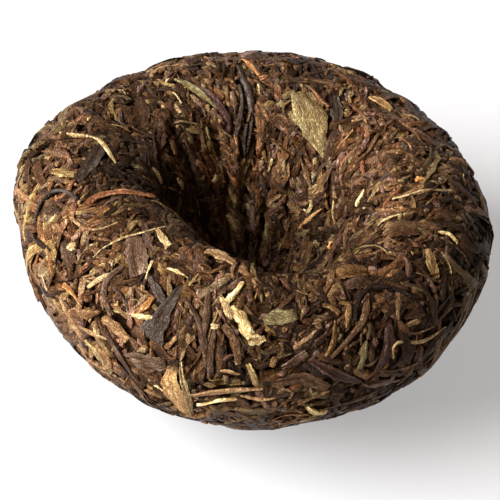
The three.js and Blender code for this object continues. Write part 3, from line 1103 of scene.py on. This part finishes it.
FLAT_LEAVES = [
    ("soot", (1.4, 3.0, 2.8, 1.2), [(102, 145), (92, 162), (78, 180)]),
    ("gold", (1.0, 1.9, 1.2), [(51, 171), (62, 174), (75, 174)]),
    ("walnut", (2.2, 3.6, 2.4), [(38, 217), (48, 211), (58, 205)]),
    ("taupe", (2.2, 3.8, 3.4), [(133, 236), (136, 256), (139, 275)]),
    ("taupe", (2.0, 3.6, 2.0), [(130, 357), (147, 362), (165, 365)]),
    ("walnut", (1.6, 3.2, 2.2), [(63, 240), (68, 252), (71, 264)]),
    ("cocoa", (1.0, 2.0, 1.2), [(310, 360), (335, 372), (360, 383)]),
    ("sepia", (0.8, 1.8, 1.0), [(404, 317), (414, 314), (425, 312)]),
    ("tan", (1.0, 1.7, 1.2), [(103, 318), (115, 326), (128, 340)]),
    ("slate", (0.6, 2.2, 3.4, 4.8), [(182, 284), (168, 305), (160, 322), (150, 339)]),
    ("straw", (1.0, 1.9, 1.0), [(248, 342), (256, 340), (266, 338)]),
    ("honey", (1.6, 4.0, 4.0, 1.2), [(172, 370), (170, 386), (178, 401), (189, 414)]),
    ("straw", (0.5, 1.1, 1.3, 0.6), [(181, 362), (184, 380), (188, 398), (192, 414)]),
    ("olive", (1.6, 2.8, 1.8), [(264, 319), (280, 317), (297, 315)]),
    ("taupe", (0.8, 1.8, 1.4), [(282, 368), (295, 361), (307, 353)]),
    ("cocoa", (1.4, 2.5, 1.8), [(390, 319), (389, 346), (378, 373)]),
    ("khaki", (4.0, 6.0, 5.6, 3.4, 0.5), [(299, 92), (307, 107), (314, 123), (323, 158)]),
    ("khaki", (0.9, 1.7, 1.1), [(281, 98), (288, 95), (296, 92)]),
    ("slate", (1.6, 2.6, 1.6), [(334, 94), (336, 107), (337, 121)]),
    ("sepia", (1.5, 3.0, 2.2), [(140, 97), (141, 112), (144, 127)]),
    ("gold", (0.9, 1.6, 0.9), [(264, 105), (275, 103)]),
    ("honey", (1.1, 2.2, 1.4), [(368, 98), (380, 102), (393, 110)]),
    ("gold", (1.2, 2.4, 1.4), [(429, 247), (432, 262), (437, 278)]),
    ("umber", (1.4, 2.6, 1.8), [(271, 384), (300, 377), (328, 388)]),
    ("bronze", (2.0, 3.4, 2.2), [(336, 275), (352, 271), (368, 269)]),
    ("walnut", (1.6, 2.8, 2.0), [(346, 286), (360, 282), (375, 281)]),
    ("umber", (1.8, 3.6, 2.4), [(386, 237), (402, 230), (420, 229)]),
]
SINGLE_SHADE = 0.84  # how many times as light as its named colour a single leaf is
SINGLE_DEPTH = 0.12
SINGLE_CAP = 0.5
SINGLE_FLATNESS = 0.7
SINGLE_CRUMPLE = (0.07, 0.18)
SINGLE_FOLD = (0, 16)
SINGLE_DROOP = 0.1

# For each piece of single leaves: its leaves, how many stations and corners they have, and
# whether they are sheets.
SINGLES = {
    "single_stems": (STEMS, 14, 6, False),
    "single_strips": (STRIPS, 12, 9, False),
    "single_leaves": (FLAT_LEAVES, 14, 15, True),
}


def single_leaves(rng, envelope, press, view, leaves, stations, corners, sheet):
    """Leaves along lines that are drawn on the photo, as strips or as sheets."""
    count = len(leaves)
    names, widths, lines = zip(*leaves)
    paths = drawn(envelope, view, lines, stations)
    along = paths.along
    width = np.array([np.interp(along, np.linspace(0, 1, len(w)), w) for w in widths])
    ragged = 0.1 * wobble(rng, count, along) + 0.12 * wobble(rng, count, 5 * along)
    girth = width * (1 + ragged)
    if sheet:
        section = sheet_section(
            rng, along, girth, SINGLE_CRUMPLE, SINGLE_FOLD, SINGLE_DROOP, corners
        )
    else:
        section = rolled_section(rng, along, girth, np.full(count, SINGLE_FLATNESS), corners)
    depth = SINGLE_DEPTH + 0.06 * wobble(rng, count, along)
    depth = depth - 0.15 * np.abs(2 * along - 1) ** 6
    still = np.zeros(count)
    lie = Lie(depth, np.full(count, SINGLE_CAP), still, still, sheet)
    tints = SINGLE_SHADE * np.array([linear(*SINGLE_COLOURS[name]) for name in names])
    return lofted(rng, envelope, press, paths, section, lie, tints)


# ---- leaves to leave out
MOST_OVER = 0.05  # share of a leaf's points that may lie over a single leaf, within OVER_REACH
OVER_REACH = 1.5
LEAST_SEEN = 0.1  # share of a leaf's points that nothing lies over, within COVER_REACH
COVER_REACH = 4.0
COVER_START = 0.02  # as high over the points as the search starts


def sides_tree(batches, points=np.empty((0, 3)), quads=np.empty((0, 4), int)):
    """A tree to cast rays at, of the sides of leaves and of other points and quads."""
    all_points, all_quads, first = [points], [quads], len(points)
    for batch in batches:
        count, stations, corners = batch.places.shape[:3]
        sides = loft_template(stations, corners)[0][: 4 * (stations - 1) * corners]
        starts = first + np.arange(count)[:, None] * stations * corners
        all_points.append(batch.places.reshape(-1, 3))
        all_quads.append((starts + sides).reshape(-1, 4))
        first += count * stations * corners
    corners = np.concatenate(all_points).tolist()
    return BVHTree.FromPolygons(corners, np.concatenate(all_quads).tolist())


def free_share(tree, batch, start, way, reach):
    """For each leaf, the share of its points from which a ray meets nothing of the tree. The rays
    start at a height over the points, and go outward (way is 1) or inward (-1)."""
    outward = np.broadcast_to(batch.outward[:, :, None], batch.places.shape)
    starts = batch.places + start * outward
    pairs = zip(starts.reshape(-1, 3), (way * outward).reshape(-1, 3))
    free = [tree.ray_cast(Vector(o), Vector(d), reach)[0] is None for o, d in pairs]
    return np.array(free).reshape(len(batch.places), -1).mean(1)


def clear_of(batches, singles):
    """The batches without the leaves that lie over the single ones."""
    tree = sides_tree(singles)
    clear = [1 - free_share(tree, batch, 0, -1, OVER_REACH) < MOST_OVER for batch in batches]
    return [batch.only(chosen) for batch, chosen in zip(batches, clear)]


def uncovered(batches, core):
    """The batches without the leaves that the rest all but hides."""
    tree = sides_tree(batches, *core)
    shares = [free_share(tree, batch, COVER_START, 1, COVER_REACH) for batch in batches]
    return [batch.only(share > LEAST_SEEN) for batch, share in zip(batches, shares)]


# ---- the studio
FLOOR_RADIUS = 6.0  # metres, far wider than the view
FLOOR_HEIGHT = -0.0002  # metres
FLOOR_TONES = (0.29, 0.315)  # of faint clouds
FLOOR_GLOW = 0.38
SUN_AZIMUTH = 202.0  # 0 is from +X, 270 from the viewer
SUN_ELEVATION = 33.0
SUN_STRENGTH = 12.2
SUN_ANGLE = 44.0  # so wide that its shadows are soft
SUN_COLOUR = (0.98, 0.98, 1.0)
SKY_COLOUR = (1.0, 0.79, 0.65, 1.0)
SKY_STRENGTH = 0.28


def floor_material():
    nodes = Nodes("floor")
    place = nodes.add("ShaderNodeTexCoord", {}, "Object")
    cloud = nodes.noise(place, (3, 3, 3), Detail=2.0)
    tone = nodes.spread(cloud, 0.3, 0.7, *FLOOR_TONES)
    return nodes.surface(
        {
            "Base Color": nodes.add("ShaderNodeCombineXYZ", {0: tone, 1: tone, 2: tone}),
            "Roughness": 0.8,
            "Specular IOR Level": 0.1,
            "Emission Color": (1, 1, 1, 1),
            "Emission Strength": FLOOR_GLOW,
        }
    )


def make_floor():
    """A round pale floor that glows faintly."""
    shape = bmesh.new()
    bmesh.ops.create_circle(shape, cap_ends=True, segments=96, radius=FLOOR_RADIUS)
    mesh = bpy.data.meshes.new("floor")
    shape.to_mesh(mesh)
    shape.free()
    mesh.materials.append(floor_material())
    floor = add_object("floor", mesh)
    floor.location.z = FLOOR_HEIGHT


def make_sun():
    data = bpy.data.lights.new("key", "SUN")
    data.energy = SUN_STRENGTH
    data.angle = math.radians(SUN_ANGLE)
    data.color = SUN_COLOUR
    light = add_object("key", data)
    turn, rise = math.radians(SUN_AZIMUTH), math.radians(SUN_ELEVATION)
    level = math.cos(rise)
    towards = Vector((math.cos(turn) * level, math.sin(turn) * level, math.sin(rise)))
    light.rotation_mode = "QUATERNION"
    light.rotation_quaternion = towards.to_track_quat("Z", "Y")


def make_sky():
    world = bpy.data.worlds.new("world")
    bpy.context.scene.world = world
    world.use_nodes = True
    background = world.node_tree.nodes["Background"]
    background.inputs["Color"].default_value = SKY_COLOUR
    background.inputs["Strength"].default_value = SKY_STRENGTH
    bpy.context.scene.view_settings.view_transform = "Standard"


# ---- the whole
def main():
    rng = np.random.default_rng(SEED)
    view = PhotoView(make_camera())
    envelope = Envelope(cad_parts[NODE])
    press = Press(rng, envelope, view)
    flow = Flow(envelope, view)
    leaf = leaf_material()
    core = make_core(rng, envelope, press, leaf)
    pool = envelope.scatter(rng, POOL)
    scattered = [scatter_kind(rng, envelope, press, flow, pool, kind) for kind in KINDS]
    singles = [single_leaves(rng, envelope, press, view, *rest) for rest in SINGLES.values()]
    scattered = uncovered(clear_of(scattered, singles), core)
    names = [kind.name for kind in KINDS] + list(SINGLES)
    for name, leaves in zip(names, scattered + singles):
        add_leaves(name, leaves, leaf)
    make_floor()
    make_sun()
    make_sky()


main()
